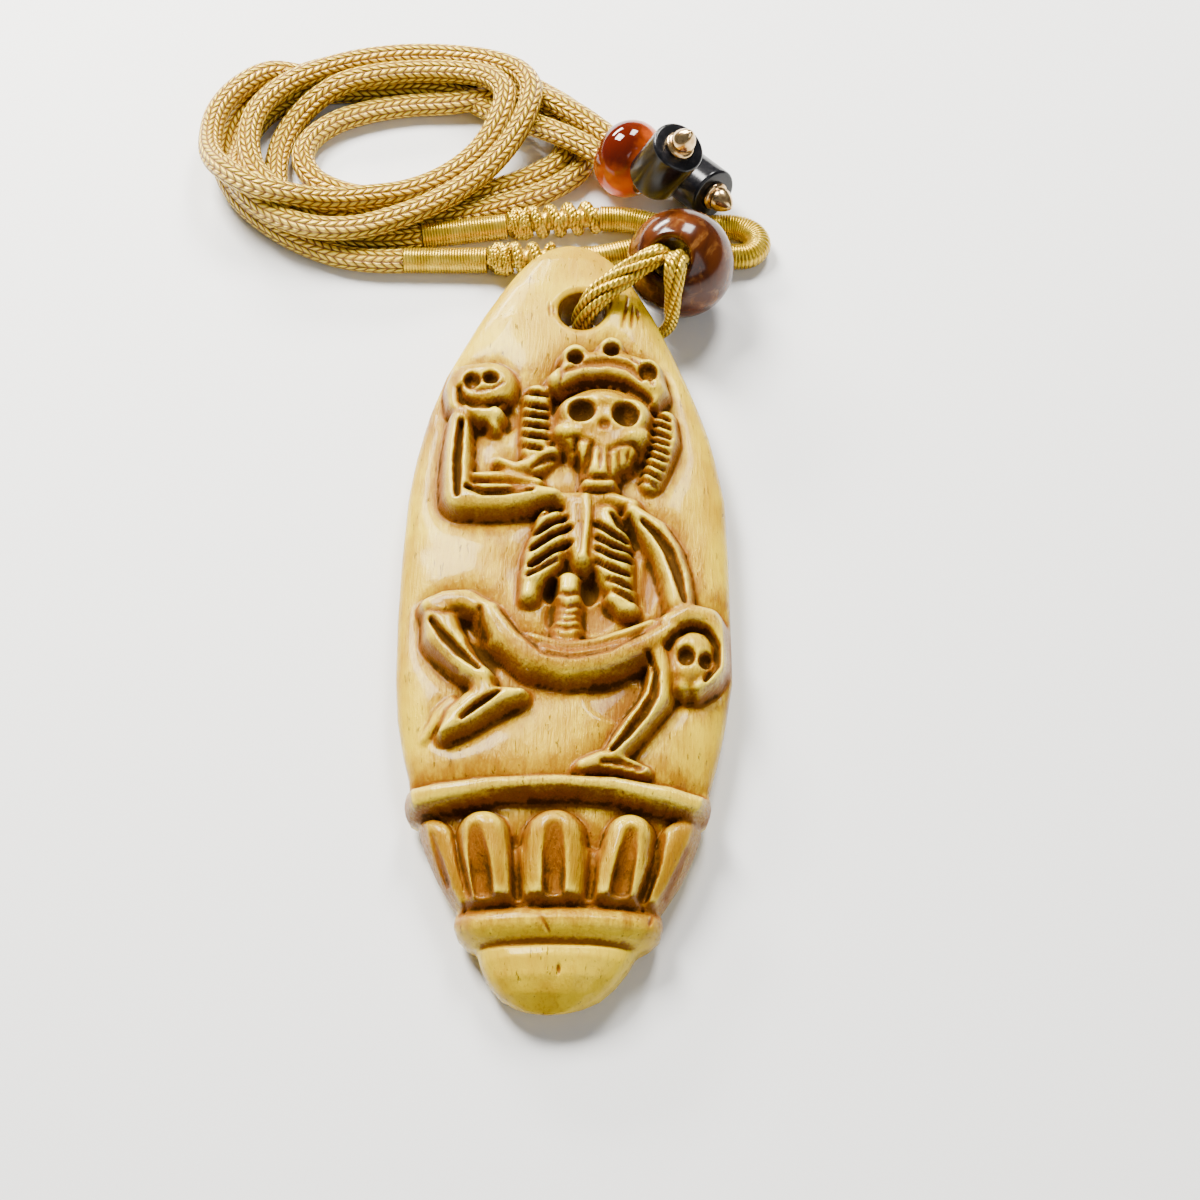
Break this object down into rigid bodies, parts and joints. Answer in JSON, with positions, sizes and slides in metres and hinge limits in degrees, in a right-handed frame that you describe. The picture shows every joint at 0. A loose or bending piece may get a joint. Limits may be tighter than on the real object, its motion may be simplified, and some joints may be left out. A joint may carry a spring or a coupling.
{
  "type": "pendant necklace",
  "caption": "Long carved bone pendant with a dancing skeleton in relief, on a thread loop, a round brown bead and a coiled braided cord with an amber bead and black end beads.",
  "frame": {"origin": "middle of the bone pendant's length and width, at its flat back, which lies on the surface", "axes": "+Y along the pendant towards its hole end, +Z out of its carved front, +X to the right as the carving is seen"},
  "size_m": [0.0734, 0.136, 0.0187],
  "materials": {
    "bone_pendant": "semi-gloss carved bone, stained dark brown in the grooves",
    "hanging_loop": "satin gold thread",
    "brown_bead": "polished, streaked red-brown",
    "cord_coil": "satin braided cord",
    "cord_tail_a": "satin braided cord",
    "cord_tail_b": "satin braided cord",
    "sleeve_upper": "wound gold thread",
    "knot_upper": "wound gold thread",
    "sleeve_apex": "wound gold thread",
    "knot_lower": "wound gold thread",
    "sleeve_lower": "wound gold thread",
    "slider_bead": "clear amber, polished",
    "end_bead_a": "polished black horn",
    "end_bead_b": "polished black horn",
    "end_tip_a": "polished",
    "end_tip_b": "polished"
  },
  "bodies": {
    "root": {"bone_pendant": "bone_pendant", "hanging_loop": "hanging_loop", "brown_bead": "brown_bead", "cord_coil": "cord_coil", "cord_tail_a": "cord_tail_a", "cord_tail_b": "cord_tail_b", "sleeve_upper": "sleeve_upper", "knot_upper": "knot_upper", "sleeve_apex": "sleeve_apex", "knot_lower": "knot_lower", "sleeve_lower": "sleeve_lower", "slider_bead": "slider_bead", "end_bead_a": "end_bead_a", "end_bead_b": "end_bead_b", "end_tip_a": "end_tip_a", "end_tip_b": "end_tip_b"}
  },
  "joints": []
}
